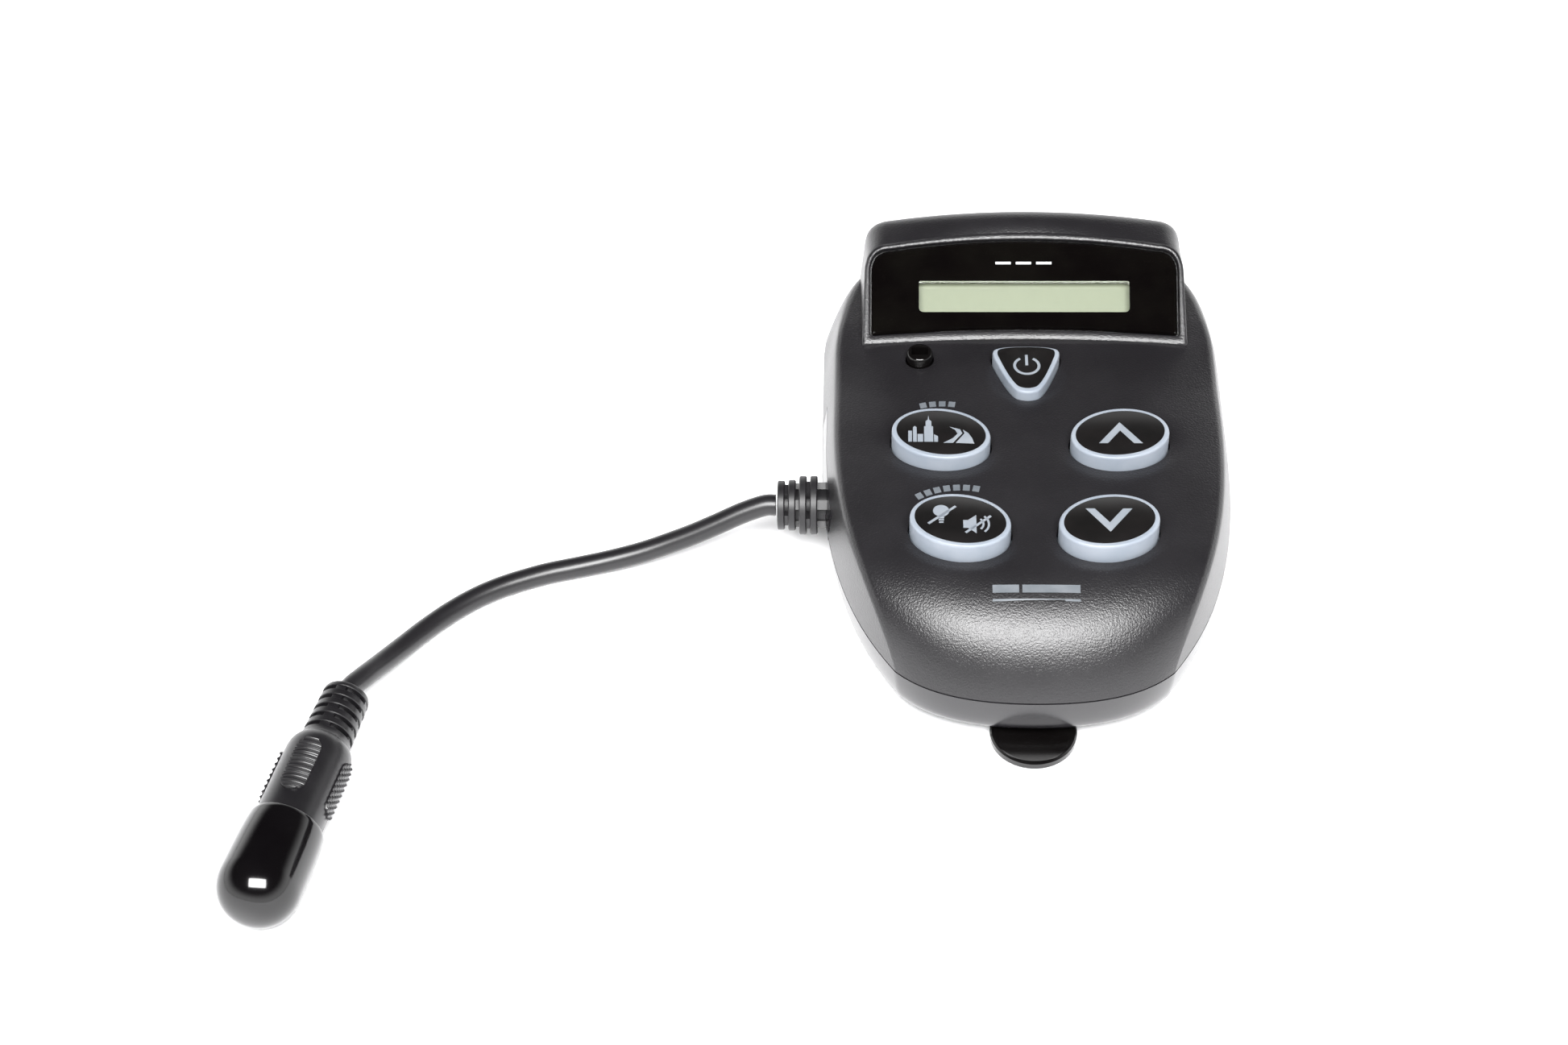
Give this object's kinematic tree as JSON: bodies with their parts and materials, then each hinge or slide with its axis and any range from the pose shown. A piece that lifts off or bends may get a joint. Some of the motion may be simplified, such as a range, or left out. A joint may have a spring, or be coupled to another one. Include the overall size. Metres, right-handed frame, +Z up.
{
  "type": "radar and laser detector",
  "caption": "Motorcycle dash alert receiver: hooded display, oval rubber keys, thumb-release mount plate, and a short cable with a capped round plug.",
  "frame": {"origin": "on the standing surface, under the middle of the case and thumb tab together", "axes": "+Y towards the hood, +Z up, +X to the right as the user sees the keys"},
  "size_m": [0.1839, 0.1538, 0.042],
  "materials": {
    "front_plastic": "fine spark-textured black ABS",
    "rear_plastic": "smooth satin black ABS",
    "gasket_rubber": "grey silicone",
    "screw_steel": "zinc-plated steel",
    "lens_acrylic": "black-printed polished acrylic with a clear window",
    "lcd": "grey-green reflective LCD",
    "white_nylon": "natural nylon",
    "key_silicone": "translucent grey silicone with a black printed face",
    "switch_plastic": "black moulded plastic",
    "board": "green solder mask",
    "horn_alloy": "die-cast alloy",
    "smoked_acrylic": "dark red tinted acrylic",
    "tab_plastic": "polished black nylon",
    "gland_rubber": "moulded black PVC",
    "cable_jacket": "satin black PVC jacket",
    "plug_pvc": "moulded black PVC",
    "plug_metal": "nickel plate",
    "pin_gold": "gold flash",
    "cap_vinyl": "glossy dipped black vinyl"
  },
  "bodies": {
    "case": {"front_shell": "front_plastic", "rear_shell": "rear_plastic", "shell_gasket": "gasket_rubber", "display_lens": "lens_acrylic", "lcd_glass": "lcd", "lcd_carrier": "white_nylon", "keypad_mat": "gasket_rubber", "sensor_boot": "tab_plastic", "light_sensor": "smoked_acrylic", "main_board": "board", "antenna_horn": "horn_alloy", "laser_detector": "switch_plastic", "laser_window": "smoked_acrylic", "buzzer": "switch_plastic", "lead_connector": "white_nylon", "mount_plate": "rear_plastic", "latch_pin": "screw_steel", "latch_spring": "screw_steel", "cable_gland": "gland_rubber", "cable": "cable_jacket", "plug_body": "plug_pvc", "plug_shell": "plug_metal", "plug_insert": "white_nylon", "mode_switch": "switch_plastic", "up_switch": "switch_plastic", "backlight_switch": "switch_plastic", "down_switch": "switch_plastic", "power_switch": "switch_plastic", "case_screw_1": "screw_steel", "mount_screw_1": "screw_steel", "case_screw_2": "screw_steel", "mount_screw_2": "screw_steel", "case_screw_3": "screw_steel", "mount_screw_3": "screw_steel", "case_screw_4": "screw_steel", "mount_screw_4": "screw_steel", "plug_pin_1": "pin_gold", "plug_pin_2": "pin_gold", "plug_pin_3": "pin_gold", "plug_pin_4": "pin_gold", "plug_pin_5": "pin_gold", "plug_pin_6": "pin_gold"},
    "power_button": {"power_key": "key_silicone"},
    "mode_button": {"mode_key": "key_silicone"},
    "backlight_button": {"backlight_key": "key_silicone"},
    "up_button": {"up_key": "key_silicone"},
    "down_button": {"down_key": "key_silicone"},
    "latch": {"release_latch": "tab_plastic"},
    "cap": {"plug_cap": "cap_vinyl"}
  },
  "joints": [
    {"name": "power_press", "type": "slide", "parent": "case", "child": "power_button", "axis": [0, 0, -1], "range_m": [0, 0.0007], "stiffness_N_per_m": 400},
    {"name": "mode_press", "type": "slide", "parent": "case", "child": "mode_button", "axis": [0, 0, -1], "range_m": [0, 0.0007], "stiffness_N_per_m": 400},
    {"name": "backlight_press", "type": "slide", "parent": "case", "child": "backlight_button", "axis": [0, 0, -1], "range_m": [0, 0.0007], "stiffness_N_per_m": 400},
    {"name": "up_press", "type": "slide", "parent": "case", "child": "up_button", "axis": [0, 0, -1], "range_m": [0, 0.0007], "stiffness_N_per_m": 400},
    {"name": "down_press", "type": "slide", "parent": "case", "child": "down_button", "axis": [0, 0, -1], "range_m": [0, 0.0007], "stiffness_N_per_m": 400},
    {"name": "latch_release", "type": "hinge", "parent": "case", "child": "latch", "pos_m": [0, -0.024, 0.0017], "axis": [-1, 0, 0], "range_deg": [0, 3.8], "stiffness_Nm_per_rad": 0.03},
    {"name": "cap_pull", "type": "slide", "parent": "case", "child": "cap", "axis": [-0.2173, -0.9761, 0], "range_m": [0, 0.022]}
  ]
}
